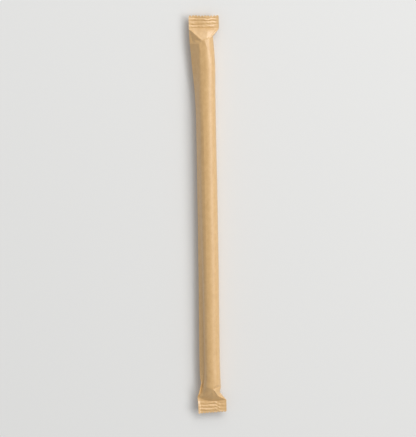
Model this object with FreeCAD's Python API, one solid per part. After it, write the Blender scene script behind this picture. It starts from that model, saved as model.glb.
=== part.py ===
import FreeCAD
import Part

import math
import os

# A drinking straw sealed in a sleeve of kraft paper, lying on a table.
#
# The sleeve is one sheet, lapped into a tube along its underside and pressed flat at both
# ends, where heated jaws leave ridges and a saw-toothed knife cuts it off. It is closed all
# round, so it is one solid. It lies along Y with its head end at +Y, its front face up and
# its side creases level. The origin is on the table, under the middle of the wrapper.
# All sizes are in millimetres.

# The whole wrapper
wrapped_length = 225.0  # over the tips of the teeth
paper_thickness = 0.08

# The tube around the straw: two shallow arcs of paper that meet in a crease at each side
tube_width = 10.8  # from side crease to side crease
tube_height = 9.9  # before the strip that it rests on is pressed flat
rest_width = 3.0  # the flat strip under the tube

# The head end, measured from its seal towards the middle. The straw has slid down to the
# foot, so the empty paper here is flatter and wider for some way, and leans to the left.
head_fold_length = 5.5
head_fold_spread = 1.6  # how much wider than the tube the sleeve is where the folds end
head_fold_shift = -1.5  # of the sleeve's middle there, along X
head_taper_length = 28.0
head_crown_left = -0.4  # the front fold's two corners on the tube, along X
head_crown_right = 3.4

# The foot end, measured in the same way
foot_fold_length = 6.0
foot_fold_spread = 1.0
foot_fold_shift = -1.0
foot_taper_length = 16.0
foot_crown_left = -3.6
foot_crown_right = 1.9

# The seals
seal_depth = 7.5  # along the straw, teeth included
ridge_pitch = 1.9
ridge_height = 0.24  # from valley to crest
ridge_margin = 0.4  # least plain paper beside the ridges
tooth_pitch = 1.6
tooth_depth = 0.7
tooth_tip_width = 0.2

# The lap seam, on the underside to the right of the rest, measured along the paper
lap_gap = 1.3  # between the rest and the seam
lap_width = 2.6

# Worked out from the sizes above
tube_half_angle = 2 * math.atan(tube_height / tube_width)
tube_radius = tube_width / 2 / math.sin(tube_half_angle)
sheet_width = 2 * tube_half_angle * tube_radius  # of one face, from crease to crease
seal_width = sheet_width
seal_thickness = 2 * paper_thickness
lap_offset = rest_width / 2 + lap_gap
mid_height = math.sqrt(tube_radius**2 - (rest_width / 2) ** 2) - tube_radius * math.cos(tube_half_angle)
head_y = wrapped_length / 2
foot_y = -wrapped_length / 2


def half_angle(width):
    """Half the angle of an arc as long as the sheet is wide, bent until its ends are width apart."""
    low = 0.0
    high = math.pi
    for _ in range(50):
        middle = (low + high) / 2
        if width * middle < sheet_width * math.sin(middle):
            low = middle
        else:
            high = middle
    return low


def arc(y, centre_z, radius, start, end):
    """An arc about the Y direction, from one angle above the X axis to another."""
    points = []
    for angle in (start, (start + end) / 2, end):
        points.append(FreeCAD.Vector(radius * math.cos(angle), y, centre_z + radius * math.sin(angle)))
    return Part.Arc(*points).toShape()


def tube_outline(y, width, shift, crown_left, crown_right, grow):
    """The sleeve cut across where it is round: crown, right side, rest, left side."""
    angle = half_angle(width)
    paper_radius = width / 2 / math.sin(angle)
    centre_offset = paper_radius * math.cos(angle)
    radius = paper_radius + grow
    left_crown = math.acos((crown_left - shift) / radius)
    right_crown = math.acos((crown_right - shift) / radius)
    crease = math.asin(centre_offset / radius)
    rest = math.acos(rest_width / 2 / radius)
    upper_z = mid_height - centre_offset
    lower_z = mid_height + centre_offset
    rest_z = lower_z - radius * math.sin(rest)
    right_rest = FreeCAD.Vector(rest_width / 2, y, rest_z)
    left_rest = FreeCAD.Vector(-rest_width / 2, y, rest_z)
    edges = [
        arc(y, upper_z, radius, left_crown, right_crown),
        arc(y, upper_z, radius, right_crown, crease),
        arc(y, lower_z, radius, -crease, -rest),
        Part.makeLine(right_rest, left_rest),
        arc(y, lower_z, radius, rest - math.pi, crease - math.pi),
        arc(y, upper_z, radius, math.pi - crease, left_crown),
    ]
    outline = Part.Wire(edges)
    outline.translate(FreeCAD.Vector(shift, 0, 0))
    return outline


def seal_outline(y, grow):
    """The sleeve cut across where it is pressed flat, with the same six edges as the tube."""
    x = seal_width / 2 + grow
    rise = seal_thickness / 2 + grow
    corners = [(-x, rise), (x, rise), (x, 0), (x, -rise), (-x, -rise), (-x, 0), (-x, rise)]
    points = [FreeCAD.Vector(corner_x, y, mid_height + corner_z) for corner_x, corner_z in corners]
    return Part.makePolygon(points)


def ridged_line(y, outward, z):
    """The edges of one face of a seal: plain paper, ridges, plain paper, going outward."""
    ridge_room = seal_depth - tooth_depth - 2 * ridge_margin
    ridge_count = int(ridge_room / ridge_pitch)
    ridges_start = ridge_margin + (ridge_room - ridge_count * ridge_pitch) / 2
    step = outward * ridge_pitch / 2
    here = y + outward * ridges_start
    edges = [Part.makeLine(FreeCAD.Vector(0, y, z), FreeCAD.Vector(0, here, z))]
    for half_wave in range(2 * ridge_count):
        rise = ridge_height / 2 if half_wave % 2 == 0 else -ridge_height / 2
        start = FreeCAD.Vector(0, here, z)
        crest = FreeCAD.Vector(0, here + step / 2, z + rise)
        end = FreeCAD.Vector(0, here + step, z)
        edges.append(Part.Arc(start, crest, end).toShape())
        here += step
    edges.append(Part.makeLine(FreeCAD.Vector(0, here, z), FreeCAD.Vector(0, y + outward * seal_depth, z)))
    return edges


def seal_strip(y, outward, left_x, right_x, drop):
    """The two plies of a seal with its ridges, from left_x to right_x, moved down by drop."""
    top_z = mid_height + seal_thickness / 2 - drop
    bottom_z = top_z - seal_thickness
    edges = ridged_line(y, outward, top_z) + ridged_line(y, outward, bottom_z)
    for cap_y in (y, y + outward * seal_depth):
        edges.append(Part.makeLine(FreeCAD.Vector(0, cap_y, top_z), FreeCAD.Vector(0, cap_y, bottom_z)))
    profile = Part.Face(Part.Wire(Part.__sortEdges__(edges)))
    profile.translate(FreeCAD.Vector(left_x, 0, 0))
    return profile.extrude(FreeCAD.Vector(right_x - left_x, 0, 0))


def seal(y, outward):
    """One whole seal, square at its outer end, with the lap seam's layer under it."""
    plies = seal_strip(y, outward, -seal_width / 2, seal_width / 2, 0)
    lap = seal_strip(y, outward, lap_offset, lap_offset + lap_width, paper_thickness)
    return plies.fuse(lap)


def end_stations(end_y, outward, fold_length, taper_length):
    """Where the seal, the folds and the taper of one end stop, along Y."""
    seal_y = end_y - outward * seal_depth
    fold_y = seal_y - outward * fold_length
    taper_y = fold_y - outward * taper_length
    return seal_y, fold_y, taper_y


head_seal_y, head_fold_y, head_taper_y = end_stations(head_y, 1, head_fold_length, head_taper_length)
foot_seal_y, foot_fold_y, foot_taper_y = end_stations(foot_y, -1, foot_fold_length, foot_taper_length)
head_fold_width = tube_width + head_fold_spread
foot_fold_width = tube_width + foot_fold_spread


def sleeve(grow):
    """The sleeve between its seals as one solid, its surfaces moved outward by grow."""
    foot_crown = (foot_crown_left, foot_crown_right)
    head_crown = (head_crown_left, head_crown_right)
    foot_fold = tube_outline(foot_fold_y, foot_fold_width, foot_fold_shift, *foot_crown, grow)
    foot_tube = tube_outline(foot_taper_y, tube_width, 0, *foot_crown, grow)
    head_tube = tube_outline(head_taper_y, tube_width, 0, *head_crown, grow)
    head_fold = tube_outline(head_fold_y, head_fold_width, head_fold_shift, *head_crown, grow)
    tube = Part.Face(foot_tube).extrude(FreeCAD.Vector(0, head_taper_y - foot_taper_y, 0))
    outline_runs = [
        [seal_outline(foot_seal_y, grow), foot_fold],
        [foot_fold, foot_tube],
        [head_tube, head_fold],
        [head_fold, seal_outline(head_seal_y, grow)],
    ]
    return tube.multiFuse([Part.makeLoft(outlines, True, True) for outlines in outline_runs])


def lap_x(width, along_paper):
    """How far right of the rest's middle a point is, given its distance from it along the paper."""
    radius = width / 2 / math.sin(half_angle(width))
    return radius * math.sin(along_paper / radius)


def lap_line(along_paper):
    """One long edge of the lap seam seen from below, from seal to seal, as (x, y) points."""
    return [
        (along_paper, foot_seal_y),
        (lap_x(foot_fold_width, along_paper) + foot_fold_shift, foot_fold_y),
        (lap_x(tube_width, along_paper), foot_taper_y),
        (lap_x(tube_width, along_paper), head_taper_y),
        (lap_x(head_fold_width, along_paper) + head_fold_shift, head_fold_y),
        (along_paper, head_seal_y),
    ]


def lap_seam():
    """The second layer of paper along the underside, with the lower half of the sleeve above it."""
    outline = lap_line(lap_offset) + lap_line(lap_offset + lap_width)[::-1]
    outline.append(outline[0])
    below = -tube_height / 2
    polygon = Part.makePolygon([FreeCAD.Vector(x, y, below) for x, y in outline])
    prism = Part.Face(polygon).extrude(FreeCAD.Vector(0, 0, mid_height - below))
    return sleeve(paper_thickness).common(prism)


def tooth_notches(end_y, outward):
    """The gaps that the knife leaves between the teeth of one end, and at its two corners."""
    tooth_count = round(seal_width / tooth_pitch)
    pitch = seal_width / tooth_count
    half_gap = (pitch - tooth_tip_width) / 2
    overrun = tooth_depth  # how far the cutter starts beyond the paper
    outer_half_gap = half_gap * (tooth_depth + overrun) / tooth_depth
    notches = []
    for number in range(tooth_count + 1):
        x = number * pitch - seal_width / 2
        left_corner = FreeCAD.Vector(x - outer_half_gap, end_y + outward * overrun, 0)
        right_corner = FreeCAD.Vector(x + outer_half_gap, end_y + outward * overrun, 0)
        root = FreeCAD.Vector(x, end_y - outward * tooth_depth, 0)
        triangle = Part.makePolygon([left_corner, root, right_corner, left_corner])
        notches.append(Part.Face(triangle).extrude(FreeCAD.Vector(0, 0, 2 * mid_height)))
    return notches


def wrapped_straw():
    seals = [seal(foot_seal_y, -1), seal(head_seal_y, 1)]
    body = sleeve(0.0).multiFuse([lap_seam()] + seals)
    notches = tooth_notches(head_y, 1) + tooth_notches(foot_y, -1)
    return body.cut(notches).removeSplitter()


def main():
    os.makedirs("parts", exist_ok=True)
    shape = wrapped_straw()
    shape.exportStep("parts/wrapped_straw.step")
    box = shape.optimalBoundingBox(True, False)
    size = [round(length, 3) for length in (box.XLength, box.YLength, box.ZLength)]
    print("solids", len(shape.Solids), "valid", shape.isValid(), "size", size)


main()
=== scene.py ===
import math

import bpy
import numpy as np
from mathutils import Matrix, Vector, noise


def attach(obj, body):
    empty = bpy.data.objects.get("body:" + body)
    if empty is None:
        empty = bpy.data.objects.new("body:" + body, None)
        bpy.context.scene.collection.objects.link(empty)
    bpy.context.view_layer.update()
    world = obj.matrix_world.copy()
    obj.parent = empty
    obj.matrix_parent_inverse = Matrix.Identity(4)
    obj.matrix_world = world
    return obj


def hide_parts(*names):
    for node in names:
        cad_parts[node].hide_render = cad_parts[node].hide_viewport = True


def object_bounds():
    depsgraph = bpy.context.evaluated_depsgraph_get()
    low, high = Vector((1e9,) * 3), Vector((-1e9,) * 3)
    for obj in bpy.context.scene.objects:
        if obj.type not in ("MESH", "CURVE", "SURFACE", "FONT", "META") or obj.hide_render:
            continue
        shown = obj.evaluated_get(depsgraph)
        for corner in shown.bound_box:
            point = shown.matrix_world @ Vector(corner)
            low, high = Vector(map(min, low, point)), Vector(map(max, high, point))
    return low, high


# One wrapped drinking straw lying on a pale table, seen from above. The CAD part gives the
# sleeve's size. This script replaces it with a finely creased sleeve of kraft paper: the
# folds, dents and wavy ridges that handling leaves, the lap seam and the paper itself.
# X runs to the right, Y towards the head and Z up. The sleeve's lengths are in millimetres
# until its meshes are made.

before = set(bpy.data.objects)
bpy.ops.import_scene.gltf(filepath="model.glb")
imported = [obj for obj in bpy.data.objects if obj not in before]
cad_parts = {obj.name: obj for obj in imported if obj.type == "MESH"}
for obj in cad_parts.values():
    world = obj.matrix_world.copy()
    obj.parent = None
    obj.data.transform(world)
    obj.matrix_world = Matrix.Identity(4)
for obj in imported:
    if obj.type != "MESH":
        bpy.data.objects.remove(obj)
cad_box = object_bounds()

MM = 0.001
HALF_LENGTH = cad_box[1][1] / MM
HALF_SEAL = cad_box[1][0] / MM
SEAL_DEPTH = 7.5
SEAL_Y = HALF_LENGTH - SEAL_DEPTH
MID = 4.74  # height of the seals and of the side creases
PLY = 0.08  # thickness of the paper
REST_HALF = 1.3  # half the width of the flat strip underneath

# The cuts at both ends: side, how far the cut slants and how uneven its teeth are
CUTS = ((-1, 0.9, 0.1), (1, 0.3, 0.3))
TOOTH_COUNT = 10
TOOTH_DEPTH = 0.7
TEETH_Y = HALF_LENGTH - TOOTH_DEPTH - 1.0  # where the paper starts to follow the teeth

# The ridges in both seals: side, the x past which they are out of step, and by how many
# turns. At the head that is the right edge, so its ridges run through.
RIDGE_BREAKS = ((-1, 3.1, 0.45), (1, HALF_SEAL, 0.0))
RIDGE_PITCH = 1.9
RIDGE_SWING = 0.2  # from the middle of the wave to a crest

# The lap seam on the underside
LAP_OFFSET = 2.8  # from the middle of the rest to the lap seam, along the paper
LAP_WIDTH = 2.6
LAP_END_Y = TEETH_Y - 0.2

# Creases as start and end (x, y), height and reach to each side. A negative height is a dent.
HEAD_CREASES = [
    ((-6.9, 104.4), (-0.8, 99.4), 0.2, 0.8),
    ((-4.6, 99.6), (-1.8, 98.9), -0.3, 1.3),
    ((0.3, 99.4), (1.2, 95.6), 0.12, 0.8),
    ((2.2, 104.6), (1.2, 99.6), 0.1, 1.2),
    ((7.0, 104.3), (3.6, 101.3), 0.2, 0.7),
    ((4.3, 98.6), (4.5, 93.5), -0.12, 0.6),
    ((-6.3, 97.0), (-5.8, 89.0), 0.1, 0.6),
    ((-4.6, 99.0), (-4.2, 86.0), 0.06, 0.7),
    ((-2.7, 97.6), (-1.6, 91.0), 0.12, 0.8),
]
FOOT_CREASES = [
    ((2.0, -96.6), (4.6, -96.4), -0.6, 1.3),
    ((-1.2, -99.4), (-5.4, -102.9), 0.2, 0.8),
    ((0.8, -98.6), (0.4, -103.6), 0.12, 1.4),
    ((-4.4, -96.4), (-5.0, -101.6), -0.14, 1.0),
    ((1.2, -97.4), (3.7, -101.8), 0.26, 0.6),
]
TUBE_CREASES = [
    ((4.0, 92.0), (3.95, 12.0), 0.07, 0.5),
    ((3.95, 30.0), (3.7, -78.0), 0.07, 0.5),
    ((-1.3, 66.0), (-1.35, -36.0), 0.06, 0.6),
]

# The mesh's rows along the sleeve
ROW_STEP_ENDS = 0.22
ROW_STEP_FOLDS = 0.33
ROW_STEP_TUBE = 1.0

# The mesh's columns around the sleeve. Each cut across it has nine corners, from the left
# crease over the front to the right crease and back underneath.
TOOTH_COLUMNS = 6
EDGE_TEETH = 2  # teeth to the left of the crown
FACE_COLUMNS = TOOTH_COLUMNS * TOOTH_COUNT
COLUMNS = (
    12,  # left crease to left fold
    8,  # left fold to front left
    TOOTH_COLUMNS * EDGE_TEETH,  # front left to crown left
    TOOTH_COLUMNS * (TOOTH_COUNT - EDGE_TEETH),  # crown left to crown right
    8,  # crown right to right fold
    8,  # right fold to right crease
    22,  # right crease to rest
    FACE_COLUMNS,  # across the rest
    22,  # rest to left crease
)
LAP_COLUMNS = 15

# Places of some corners in a section
LEFT_FOLD = 1
FRONT_LEFT = 2
RIGHT_CREASE = 6
REST_RIGHT = 7
REST_LEFT = 8

# Colours of the paper
DARK_CLOUD = (0.6, 0.35, 0.12)
LIGHT_CLOUD = (0.72, 0.457, 0.186)
LIGHT_STREAK = (0.76, 0.46, 0.18)
DARK_FIBRE = (0.5, 0.26, 0.08)
LIGHT_FIBRE = (0.8, 0.53, 0.24)
FLECK = (0.36, 0.17, 0.06)
NOISE_SPAN = (0.3, 0.7)  # nearly all of a noise texture lies between these

# The studio, in metres
FLOOR_HALF = 3.0
LAMP_DISTANCE = 2.4


# Sections across the sleeve


def column_of(corner):
    """The mesh column where a corner of the sections lies."""
    return sum(COLUMNS[:corner])


def section(y, left, right, radius, folds, lifts=(0, 0, 0, 0, 0), drop=MID):
    """One cut across the tube: its corners, and how curved the paper is after each of them.

    The straw lies at the right, so the paper is round there and runs out flat to the left
    crease. folds are the x of the left fold, front left, the crown's two ends and the right
    fold, and lifts how far each of them stands above the round front."""
    middle = right - radius
    points = [(left, y, 0.0)]
    for x, lift in zip(folds, lifts):
        points.append((x, y, math.sqrt(radius**2 - (x - middle) ** 2) + lift))
    points.append((right, y, 0.0))
    points.append((middle + REST_HALF, y, -drop))
    points.append((middle - REST_HALF, y, -drop))
    return shaped_section(points, 1 / radius)


def shaped_section(corners, curve):
    """A cut that needn't lie in one plane. Corners have their height above the side creases."""
    flat = 0.0
    over_front = 5 * [curve]
    lower_right, lower_left = curve, 0.7 * curve
    curves = [flat] + over_front + [lower_right, flat, lower_left]
    return np.array(corners) + (0, 0, MID), np.array(curves)


def seal_section(y):
    """The cut across a seal, where the plies lie flat on each other."""
    crown_left = HALF_SEAL * (2 * EDGE_TEETH / TOOTH_COUNT - 1)
    points = [
        (-HALF_SEAL, y, 0.0),
        (-HALF_SEAL, y, PLY / 2),
        (-HALF_SEAL, y, PLY),
        (crown_left, y, PLY),
        (HALF_SEAL, y, PLY),
        (HALF_SEAL, y, PLY / 2),
        (HALF_SEAL, y, 0.0),
        (HALF_SEAL, y, -PLY),
        (-HALF_SEAL, y, -PLY),
    ]
    return shaped_section(points, 0.0)


def between(first, second, share):
    """The section at a share of the straight way from the first to the second."""
    return tuple(start + (end - start) * share for start, end in zip(first, second))


def head_end():
    """Over the straw's end, where the folds to the head's seal start."""
    corners = [
        (-7.75, 97.0, 0.0),
        (-3.1, 97.4, 3.7),
        (-0.9, 98.7, 4.3),
        (-0.4, 99.1, 4.4),
        (3.7, 100.8, 2.8),
        (4.6, 100.9, 1.5),
        (4.75, 100.8, 0.0),
        (1.8, 99.0, -4.0),
        (-0.8, 98.5, -4.0),
    ]
    return shaped_section(corners, 0.22)


def head_dip():
    """Just past the straw's end, where the loose paper at its left falls in."""
    way_to_seal = 0.14
    fall = (-2.4, 0.0, -2.5)  # of the left fold
    curve_kept = 0.4
    points, curves = between(head_end(), seal_section(SEAL_Y), way_to_seal)
    points[LEFT_FOLD] += fall
    return points, curves * curve_kept


def foot_end():
    """Where the foot's folds start."""
    corners = [
        (-5.8, -94.6, 0.9),
        (-4.9, -94.9, 0.5),
        (-4.2, -95.2, 2.2),
        (-2.8, -95.8, 4.0),
        (1.2, -96.9, 4.6),
        (4.7, -96.6, 1.1),
        (5.05, -97.3, 0.0),
        (1.5, -97.6, -4.6),
        (-1.5, -97.2, -4.6),
    ]
    return shaped_section(corners, 0.2)


def foot_pinch():
    """Where the foot's right side is pinched in, just before the seal."""
    corners = [
        (-7.4, -100.8, 1.3),
        (-6.5, -100.9, 0.5),
        (-5.9, -101.0, 0.9),
        (-3.8, -101.4, 1.8),
        (3.2, -101.4, 2.5),
        (4.2, -101.1, 1.2),
        (4.3, -101.1, 0.0),
        (4.6, -101.0, -1.8),
        (-5.0, -101.0, -1.8),
    ]
    return shaped_section(corners, 0.05)


TUBE_SECTIONS = [
    foot_end(),
    section(-89.5, -6.4, 4.95, 4.8, (-4.0, -3.4, -2.2, 2.0, 4.1), (-1.0, -0.2, 0, 0, 0), 4.7),
    section(-80.0, -6.4, 4.85, 4.85, (-3.9, -3.3, -2.0, 2.2, 4.0), (-1.3, -0.2, 0, 0, 0)),
    section(-60.0, -6.2, 5.05, 4.9, (-3.8, -3.2, -1.9, 2.4, 4.1), (-1.2, -0.2, 0, 0, 0)),
    section(-42.0, -6.0, 5.2, 4.95, (-3.8, -3.1, -1.8, 2.6, 4.2), (-0.9, -0.2, 0, 0, 0)),
    section(-15.0, -5.7, 5.35, 4.95, (-3.8, -3.0, -1.6, 2.8, 4.3), (-0.4, -0.1, 0, 0, 0)),
    section(15.0, -5.5, 5.4, 4.95, (-3.7, -2.9, -1.4, 2.9, 4.3)),
    section(51.0, -5.3, 5.45, 4.9, (-3.5, -2.7, -1.4, 2.9, 4.3)),
    section(70.0, -5.7, 5.5, 4.8, (-2.9, -2.2, -1.0, 3.0, 4.4), (0.4, 0.2, 0, 0, 0)),
    section(86.0, -6.9, 5.65, 4.5, (-2.5, -1.6, -0.4, 3.4, 4.8), (1.1, 0.5, 0.1, 0, 0), 4.5),
    head_end(),
]


# Rows of mesh points from one section to the next


def smooth_between(before, start, end, after, share):
    """A point of the smooth curve from start to end that heads the way its neighbours lie."""
    square = share * share
    cube = square * share
    return (
        (2 * cube - 3 * square + 1) * start
        + (cube - 2 * square + share) * (end - before) / 2
        + (3 * square - 2 * cube) * end
        + (cube - square) * (after - start) / 2
    )


def straight_rows(first, second):
    """Sections on straight lines from the first towards the second, which is left out."""
    longest = np.abs(second[0] - first[0])[:, 1].max()
    steps = math.ceil(longest / ROW_STEP_ENDS)
    return [between(first, second, step / steps) for step in range(steps)]


def left_crease_y(cut):
    points, _ = cut
    return points[0][1]


def tube_rows():
    """Sections on a smooth curve through the tube's own sections, without the last one."""
    last = len(TUBE_SECTIONS) - 1
    for index in range(last):
        around = [TUBE_SECTIONS[min(max(index + offset, 0), last)] for offset in (-1, 0, 1, 2)]
        length = left_crease_y(around[2]) - left_crease_y(around[1])
        row_step = ROW_STEP_FOLDS if index in (0, last - 1) else ROW_STEP_TUBE
        steps = round(length / row_step)
        for step in range(steps):
            yield tuple(smooth_between(*parts, step / steps) for parts in zip(*around))


def all_rows():
    """Every section of the mesh, from the foot's teeth to the head's teeth."""
    rows = straight_rows(seal_section(-HALF_LENGTH), seal_section(-SEAL_Y))
    rows += straight_rows(seal_section(-SEAL_Y), foot_pinch())
    rows += straight_rows(foot_pinch(), foot_end())
    rows += tube_rows()
    rows += straight_rows(head_end(), head_dip())
    rows += straight_rows(head_dip(), seal_section(SEAL_Y))
    rows += straight_rows(seal_section(SEAL_Y), seal_section(HALF_LENGTH))
    rows.append(seal_section(HALF_LENGTH))
    return rows


def bowed_row(points, curves):
    """The mesh points of one section, bowed outward between its corners as the paper is."""
    row = []
    for start, end, curve, count in zip(points, np.roll(points, -1, axis=0), curves, COLUMNS):
        chord = end - start
        share = (np.arange(count) / count)[:, None]
        bow = np.array((-chord[2], 0.0, chord[0])) * math.hypot(chord[0], chord[2]) * curve / 2
        row.append(start + chord * share + bow * share * (1 - share))
    return np.concatenate(row)


# What pressing, cutting and handling did to the paper


def ramp(value, low, high):
    """0 below low, 1 above high and smooth between."""
    share = np.clip((value - low) / (high - low), 0.0, 1.0)
    return share * share * (3 - 2 * share)


def wander(grid, across, along, seed):
    """Smooth noise from about -1 to 1 at each point, with that many waves per mm each way."""
    scale = np.array((across, along, across))
    start = Vector((seed, 2 * seed, 3 * seed))
    flat = (grid * scale).reshape(-1, 3)
    values = [noise.noise(Vector(point) + start) for point in flat]
    return np.array(values).reshape(grid.shape[:2])


def bend_inner_edges(grid):
    """Bows the inner edge of both seals, whose corners lie nearer to the middle."""
    foot_left, foot_right, foot_middle = 2.3, 0.5, 0.25
    foot_roundness = 1.6
    head_corners, head_middle = 0.6, 0.5
    fade = 5.0  # how far the bow reaches to both sides of the edge
    x, y = grid[..., 0], grid[..., 1]
    reach = np.clip(x / HALF_SEAL, -1, 1)
    foot_depth = np.where(reach < 0, foot_left, foot_right)
    foot_inset = foot_depth * np.abs(reach) ** foot_roundness - foot_middle
    head_inset = head_corners * reach**2 - head_middle
    for side, inset in ((-1, foot_inset), (1, head_inset)):
        out = side * y
        weight = ramp(out, SEAL_Y - fade, SEAL_Y) * (1 - ramp(out, SEAL_Y, SEAL_Y + fade))
        y -= side * inset * weight


def cut_teeth(grid):
    """Pulls the last rows of both ends back to a saw-toothed cut that isn't quite square."""
    fullness = 0.85  # below 1, so that the teeth bulge a little
    swing_rate, swing_start = 17.0, 1.0  # of the wave that makes some teeth deeper than others
    x, y = grid[..., 0], grid[..., 1]
    place = (x / HALF_SEAL + 1) / 2
    saw = (2 * np.abs(place * TOOTH_COUNT - np.round(place * TOOTH_COUNT))) ** fullness
    swing = np.sin(place * swing_rate + swing_start)
    for side, slant, uneven in CUTS:
        depth = TOOTH_DEPTH * (1 + uneven * swing)
        tip = HALF_LENGTH - depth * (1 - saw) - slant * place
        share = np.clip((side * y - TEETH_Y) / (HALF_LENGTH - TEETH_Y), 0.0, 1.0)
        y += np.where(share > 0, side * (TEETH_Y + share * (tip - TEETH_Y)) - y, 0.0)


def ridge_wave(turns):
    """Broad crests with a sharp valley between them, from -1 to 1 and back once a turn."""
    fullness = 0.8  # below 1, so that the crests are broad
    return 2 * np.abs(np.cos(math.pi * turns)) ** fullness - 1


def press_ridges(grid):
    """Presses the jaws' ridges into both seals. At the foot's right they start anew, out of step."""
    gap, fade = 0.1, 0.8  # from a break to where the ridges start, and to where they are full
    start_turns = 0.35  # where the wave is at the seal's inner edge
    start_y = (SEAL_Y + 0.2, SEAL_Y + 0.9)  # where the ridges rise, going outward
    end_y = (HALF_LENGTH - 1.8, HALF_LENGTH - 0.9)  # where they fade before the teeth
    side_x = (HALF_SEAL - 2.6, HALF_SEAL - 0.8)  # where they grow fainter towards the sides
    side_loss = 0.75  # and by how much
    waviness = 0.5
    coarse_breaks, fine_breaks = 0.9, 0.7
    wrinkle_height = 0.06
    x, y, z = grid[..., 0], grid[..., 1], grid[..., 2]
    uneven = wander(grid, across=0.3, along=0.4, seed=4.0)
    spots = wander(grid, across=0.9, along=0.5, seed=6.0)
    broken = 1 + coarse_breaks * uneven + fine_breaks * spots
    for side, break_x, offset in RIDGE_BREAKS:
        out = side * y + waviness * uneven
        turns = (out - SEAL_Y) / RIDGE_PITCH + start_turns
        left_wave = ridge_wave(turns) * (1 - ramp(x, break_x - fade, break_x - gap))
        right_wave = ridge_wave(turns + offset) * ramp(x, break_x + gap, break_x + fade)
        wave = left_wave + right_wave
        inner = ramp(out, *start_y)
        outer = 1 - ramp(out, *end_y)
        margin = 1 - ramp(np.abs(x), *side_x) * side_loss
        z += RIDGE_SWING * wave * inner * outer * margin * broken
    seals = ramp(np.abs(y), SEAL_Y, SEAL_Y + 1.0)
    z += wrinkle_height * wander(grid, across=0.5, along=1.6, seed=9.0) * seals


def round_shoulder(grid):
    """Rounds the front where the tube ends and falls towards the foot's seal."""
    shoulder_y, reach = -96.5, 2.0
    start_z = (MID + 1.5, MID + 3.5)  # only the paper that is as high as this is rounded
    end_x = (0.8, 2.8)  # the right of the front keeps its edge
    rounds = 24
    x, y, z = grid[..., 0], grid[..., 1], grid[..., 2]
    weight = np.exp(-(((y - shoulder_y) / reach) ** 2)) * ramp(z, *start_z)
    weight *= 1 - ramp(x, *end_x)
    for _ in range(rounds):
        smooth = (z[:-2] + 2 * z[1:-1] + z[2:]) / 4
        z[1:-1] += (smooth - z[1:-1]) * weight[1:-1]


def surface_normals(grid):
    """Outward directions at each point of the grid, whose columns close on themselves."""
    least_length = 1e-9
    around = np.roll(grid, -1, axis=1) - np.roll(grid, 1, axis=1)
    along = np.gradient(grid, axis=0)
    normals = np.cross(around, along)
    lengths = np.linalg.norm(normals, axis=2, keepdims=True)
    return normals / np.maximum(lengths, least_length)


def raise_crease(grid, normals, start, end, height, reach):
    """Lifts the front into a crease between two points seen from above, or presses it in."""
    appear, vanish = (-0.2, 0.2), (0.75, 1.1)  # shares of the way from start to end
    front_z = (MID + 0.02, MID + 0.3)
    start, end = np.array(start), np.array(end)
    across = grid[..., :2] - start
    line = end - start
    along = np.clip(across @ line / (line @ line), 0.0, 1.0)
    distance = np.linalg.norm(across - along[..., None] * line, axis=2)
    fade = ramp(along, *appear) * (1 - ramp(along, *vanish))
    front = ramp(grid[..., 2], *front_z)
    lift = height * np.clip(1 - distance / reach, 0.0, 1.0) * fade * front
    grid += normals * lift[..., None]


def crease_paper(grid):
    """The creases of handling, each read off the photograph."""
    normals = surface_normals(grid)
    for crease in HEAD_CREASES + FOOT_CREASES + TUBE_CREASES:
        raise_crease(grid, normals, *crease)


def ruffle_paper(grid):
    """Slight waves all over, and crumpled paper near both ends, where the sleeve is empty."""
    wave_height, ripple_height, crumple_height = 0.06, 0.03, 0.1
    empty_y = (SEAL_Y - 26.0, SEAL_Y - 8.0)  # where the paper starts to be crumpled
    seal_y = (SEAL_Y - 1.0, SEAL_Y + 1.0)
    floor_z = (0.3, 1.2)  # the paper that touches the table stays flat
    level = 0.3  # the noise that leaves the paper where it is
    normals = surface_normals(grid)
    from_middle = np.abs(grid[..., 1])
    seals = ramp(from_middle, *seal_y)
    ends = ramp(from_middle, *empty_y) * (1 - seals)
    waves = wave_height * wander(grid, across=0.16, along=0.05, seed=11.0)
    waves += ripple_height * wander(grid, across=0.5, along=0.12, seed=23.0)
    folds = np.abs(wander(grid, across=0.22, along=0.12, seed=31.0))  # sharp where it is 0
    crumple = crumple_height * (level - folds)
    above_floor = ramp(grid[..., 2], *floor_z)
    lift = (waves * (1 - seals) + crumple * ends) * above_floor
    grid += normals * lift[..., None]


def curl_seals(grid):
    """Lifts and curls the flat ends the way the photograph shows them."""
    foot_slope, head_slope = 0.1, -0.08
    curl_start = 6.3  # the foot's paper curls from here to its left edge
    curl_rise, curl_inset = 0.9, 0.45
    head_wave, wave_rate, wave_start = 0.3, 0.5, 2
    fade = 3.0  # how far the curl reaches to both sides of the seal's inner edge
    x, y, z = grid[..., 0], grid[..., 1], grid[..., 2]
    foot = ramp(-y, SEAL_Y - fade, SEAL_Y + fade)
    head = ramp(y, SEAL_Y - fade, SEAL_Y + fade)
    left_edge = np.clip((-x - curl_start) / (HALF_SEAL - curl_start), 0, 1)
    z += foot * (foot_slope * np.clip(-y - SEAL_Y, 0, None) + curl_rise * left_edge)
    x += foot * curl_inset * left_edge
    wave = head_wave * np.sin((x + wave_start) * wave_rate)
    z += head * (wave + head_slope * np.clip(y - SEAL_Y, 0, None))


# Points and faces of the meshes


def main_grid():
    """The points of the whole sleeve, in rows across it and columns along it."""
    grid = np.array([bowed_row(*row) for row in all_rows()])
    bend_inner_edges(grid)
    cut_teeth(grid)
    press_ridges(grid)
    round_shoulder(grid)
    crease_paper(grid)
    ruffle_paper(grid)
    curl_seals(grid)
    grid[..., 2] = np.maximum(grid[..., 2], 0)  # the table holds the paper up
    return grid


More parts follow.
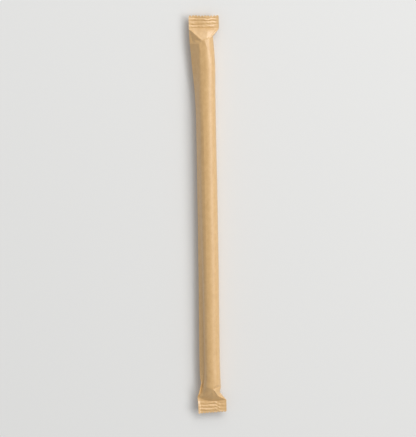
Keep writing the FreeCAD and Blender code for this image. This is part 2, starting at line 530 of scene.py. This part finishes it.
def lap_grid(grid):
    """The second layer of paper along the underside, one thickness out, just short of the teeth."""
    middle = column_of(REST_RIGHT) + FACE_COLUMNS // 2
    right_crease = column_of(RIGHT_CREASE)
    kept_rows = np.abs(grid[:, 0, 1]) < LAP_END_Y
    under = grid[:, middle:right_crease:-1][kept_rows]
    normals = surface_normals(grid)[:, middle:right_crease:-1][kept_rows]
    places = np.linspace(LAP_OFFSET + LAP_WIDTH, LAP_OFFSET, LAP_COLUMNS)
    places = np.concatenate((places[:1], places, places[-1:]))
    heights = np.full(len(places), PLY)
    heights[[0, -1]] = -PLY / 2  # both long edges end inside the sleeve
    rows = []
    for line, outward in zip(under, normals):
        reach = np.linalg.norm(np.diff(line[:, ::2], axis=0), axis=1)
        along_paper = np.concatenate(([0.0], np.cumsum(reach)))
        row = [np.interp(places, along_paper, line[:, axis]) for axis in range(3)]
        push = [np.interp(places, along_paper, outward[:, axis]) for axis in range(3)]
        rows.append(np.stack(row, axis=1) + np.stack(push, axis=1) * heights[:, None])
    return np.array(rows)


def grid_faces(rows, columns):
    """Quads between the points of a grid, whose last column joins the first."""
    faces = []
    for row in range(rows - 1):
        here = row * columns
        beyond = here + columns
        for column in range(columns):
            after = (column + 1) % columns
            faces.append((here + column, here + after, beyond + after, beyond + column))
    return faces


def end_faces(start, columns, flip):
    """Closes one end: quads between the front ply and the back ply, and its two edges."""
    front = column_of(FRONT_LEFT)
    back = column_of(REST_LEFT)
    faces = []
    for column in range(FACE_COLUMNS):
        faces.append((front + column, front + column + 1, back - column - 1, back - column))
    faces.append(tuple(range(front + 1)) + tuple(range(back, columns)))
    faces.append(tuple(range(front + FACE_COLUMNS, back - FACE_COLUMNS + 1)))
    faces = [tuple(start + corner for corner in face) for face in faces]
    return [face[::-1] for face in faces] if flip else faces


def add_piece(name, grid, faces, material):
    """Makes the mesh and lets it take the CAD sleeve's place."""
    sharp_angle = math.radians(50)
    mesh = bpy.data.meshes.new(name)
    mesh.from_pydata((grid * MM).reshape(-1, 3).tolist(), [], faces)
    mesh.validate()
    mesh.polygons.foreach_set("use_smooth", [True] * len(mesh.polygons))
    mesh.set_sharp_from_angle(angle=sharp_angle)
    mesh.materials.append(material)
    piece = bpy.data.objects.new(name, mesh)
    bpy.context.scene.collection.objects.link(piece)
    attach(piece, "root")
    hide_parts("wrapped_straw")


def add_sleeve(grid, material):
    rows, columns = grid.shape[:2]
    faces = grid_faces(rows, columns)
    faces += end_faces(0, columns, flip=True)
    faces += end_faces((rows - 1) * columns, columns, flip=False)
    add_piece("kraft_sleeve", grid, faces, material)


def add_lap_seam(sleeve_grid, material):
    grid = lap_grid(sleeve_grid)
    rows, columns = grid.shape[:2]
    faces = grid_faces(rows, columns)
    faces.append(tuple(range(columns))[::-1])
    faces.append(tuple(range((rows - 1) * columns, rows * columns)))
    add_piece("lap_seam", grid, faces, material)


# Materials


def grain(tree, place, per_mm, detail, roughness=0.5):
    """Noise with that many features per millimetre along each axis."""
    mapping = tree.nodes.new("ShaderNodeMapping")
    mapping.inputs["Scale"].default_value = [scale / MM for scale in per_mm]
    texture = tree.nodes.new("ShaderNodeTexNoise")
    texture.inputs["Scale"].default_value = 1.0
    texture.inputs["Detail"].default_value = detail
    texture.inputs["Roughness"].default_value = roughness
    tree.links.new(place, mapping.inputs["Vector"])
    tree.links.new(mapping.outputs["Vector"], texture.inputs["Vector"])
    return texture.outputs["Fac"]


def stretch(tree, value, low, high, to_low, to_high):
    """Maps low..high of a value to to_low..to_high and holds it there beyond."""
    node = tree.nodes.new("ShaderNodeMapRange")
    settings = {"From Min": low, "From Max": high, "To Min": to_low, "To Max": to_high}
    for name, number in settings.items():
        node.inputs[name].default_value = number
    tree.links.new(value, node.inputs["Value"])
    return node.outputs["Result"]


def blend(tree, share, first, second):
    """Mixes a colour, or another mix, towards a colour by a share."""
    node = tree.nodes.new("ShaderNodeMix")
    node.data_type = "RGBA"
    for name, colour in (("A", first), ("B", second)):
        socket = [item for item in node.inputs if item.name == name and item.type == "RGBA"][0]
        if isinstance(colour, tuple):
            socket.default_value = (*colour, 1)
        else:
            tree.links.new(colour, socket)
    tree.links.new(share, node.inputs["Factor"])
    return [item for item in node.outputs if item.type == "RGBA"][0]


def add_up(tree, first, second):
    node = tree.nodes.new("ShaderNodeMath")
    tree.links.new(first, node.inputs[0])
    tree.links.new(second, node.inputs[1])
    return node.outputs["Value"]


def add_relief(tree, shader, height):
    """Lets the fibres stand out of the paper's surface."""
    bump = tree.nodes.new("ShaderNodeBump")
    bump.inputs["Strength"].default_value = 0.28
    bump.inputs["Distance"].default_value = 0.05 * MM
    tree.links.new(height, bump.inputs["Height"])
    tree.links.new(bump.outputs["Normal"], shader.inputs["Normal"])


def kraft_material():
    """Machine-glazed kraft paper: cloudy, with fine fibres along the straw and a satin sheen."""
    material = bpy.data.materials.new("kraft_paper")
    material.use_nodes = True
    tree = material.node_tree
    shader = tree.nodes["Principled BSDF"]
    place = tree.nodes.new("ShaderNodeTexCoord").outputs["Object"]
    clouds = grain(tree, place, (0.5, 0.35, 0.5), detail=6, roughness=0.72)
    streaks = grain(tree, place, (1.2, 0.04, 1.2), detail=2)
    fibres = grain(tree, place, (9.0, 2.2, 9.0), detail=3, roughness=0.6)
    cross_fibres = grain(tree, place, (4.0, 7.0, 4.0), detail=3, roughness=0.6)
    flecks = grain(tree, place, (3.6, 2.4, 3.6), detail=1)
    colour = blend(tree, stretch(tree, clouds, *NOISE_SPAN, 0, 1), DARK_CLOUD, LIGHT_CLOUD)
    # Each further layer: its noise, the values where it starts and is full, its share, its colour
    layers = (
        (streaks, 0.35, 0.7, 0.2, LIGHT_STREAK),
        (fibres, 0.52, 0.72, 0.35, DARK_FIBRE),
        (cross_fibres, 0.55, 0.75, 0.35, LIGHT_FIBRE),
        (flecks, 0.72, 0.8, 0.4, FLECK),
    )
    for texture, low, high, most, tint in layers:
        colour = blend(tree, stretch(tree, texture, low, high, 0, most), colour, tint)
    tree.links.new(colour, shader.inputs["Base Color"])
    tree.links.new(stretch(tree, fibres, *NOISE_SPAN, 0.4, 0.5), shader.inputs["Roughness"])
    shader.inputs["Specular IOR Level"].default_value = 1.0
    shader.inputs["IOR"].default_value = 1.6
    shader.inputs["Coat Weight"].default_value = 0.6
    shader.inputs["Coat Roughness"].default_value = 0.42
    add_relief(tree, shader, add_up(tree, fibres, add_up(tree, cross_fibres, clouds)))
    return material


def floor_material():
    """Plain pale and matt."""
    material = bpy.data.materials.new("table")
    material.use_nodes = True
    shader = material.node_tree.nodes["Principled BSDF"]
    shader.inputs["Base Color"].default_value = (0.77, 0.77, 0.76, 1)
    shader.inputs["Roughness"].default_value = 0.9
    shader.inputs["Specular IOR Level"].default_value = 0.1
    return material


# Table, lamps and camera


def add_floor():
    mesh = bpy.data.meshes.new("table")
    low, high = -FLOOR_HALF, FLOOR_HALF
    corners = [(low, low, 0), (high, low, 0), (high, high, 0), (low, high, 0)]
    mesh.from_pydata(corners, [], [(0, 1, 2, 3)])
    mesh.materials.append(floor_material())
    floor = bpy.data.objects.new("table", mesh)
    bpy.context.scene.collection.objects.link(floor)


def add_soft_box(name, direction, width, length, power):
    """A lit panel, its length along the straw, that faces the straw from that direction."""
    light = bpy.data.lights.new(name, "AREA")
    light.shape = "RECTANGLE"
    light.energy = power
    light.size = width
    light.size_y = length
    lamp = bpy.data.objects.new(name, light)
    bpy.context.scene.collection.objects.link(lamp)
    towards = Vector(direction).normalized()
    lamp.location = towards * LAMP_DISTANCE
    lamp.rotation_euler = towards.to_track_quat("Z", "X").to_euler()


def add_lights():
    """A long soft box at the upper right, a weaker one beyond the head, and even light around."""
    ambient = 0.37
    add_soft_box("key", (0.58, 0.34, 0.72), width=0.8, length=3.2, power=49.0)
    add_soft_box("head_light", (0.1, 0.75, 0.65), width=1.6, length=1.6, power=13.6)
    world = bpy.data.worlds.new("studio")
    world.use_nodes = True
    background = world.node_tree.nodes["Background"]
    background.inputs["Color"].default_value = (1, 1, 1, 1)
    background.inputs["Strength"].default_value = ambient
    bpy.context.scene.world = world


def add_camera():
    """Looks down on the straw's front as the photograph does, from a little beyond its head."""
    tilt = math.radians(15)  # from straight above towards the head
    lean = math.radians(1.2)  # of the straw in the picture
    focal_length = 200
    sensor = 36
    shown_height = 0.2386  # of the whole picture where the straw is, in metres
    distance = shown_height * focal_length / sensor
    camera = bpy.data.cameras.new("camera")
    camera.lens = focal_length
    camera.sensor_width = sensor
    viewer = bpy.data.objects.new("camera", camera)
    bpy.context.scene.collection.objects.link(viewer)
    target = Vector((0, 0, MID * MM))
    viewer.rotation_euler = (-tilt, 0, -lean)
    viewer.location = target + viewer.rotation_euler.to_matrix() @ Vector((0, 0, distance))
    bpy.context.scene.camera = viewer


paper = kraft_material()
sleeve_grid = main_grid()
add_sleeve(sleeve_grid, paper)
add_lap_seam(sleeve_grid, paper)
add_floor()
add_lights()
add_camera()
bpy.context.scene.view_settings.view_transform = "Standard"
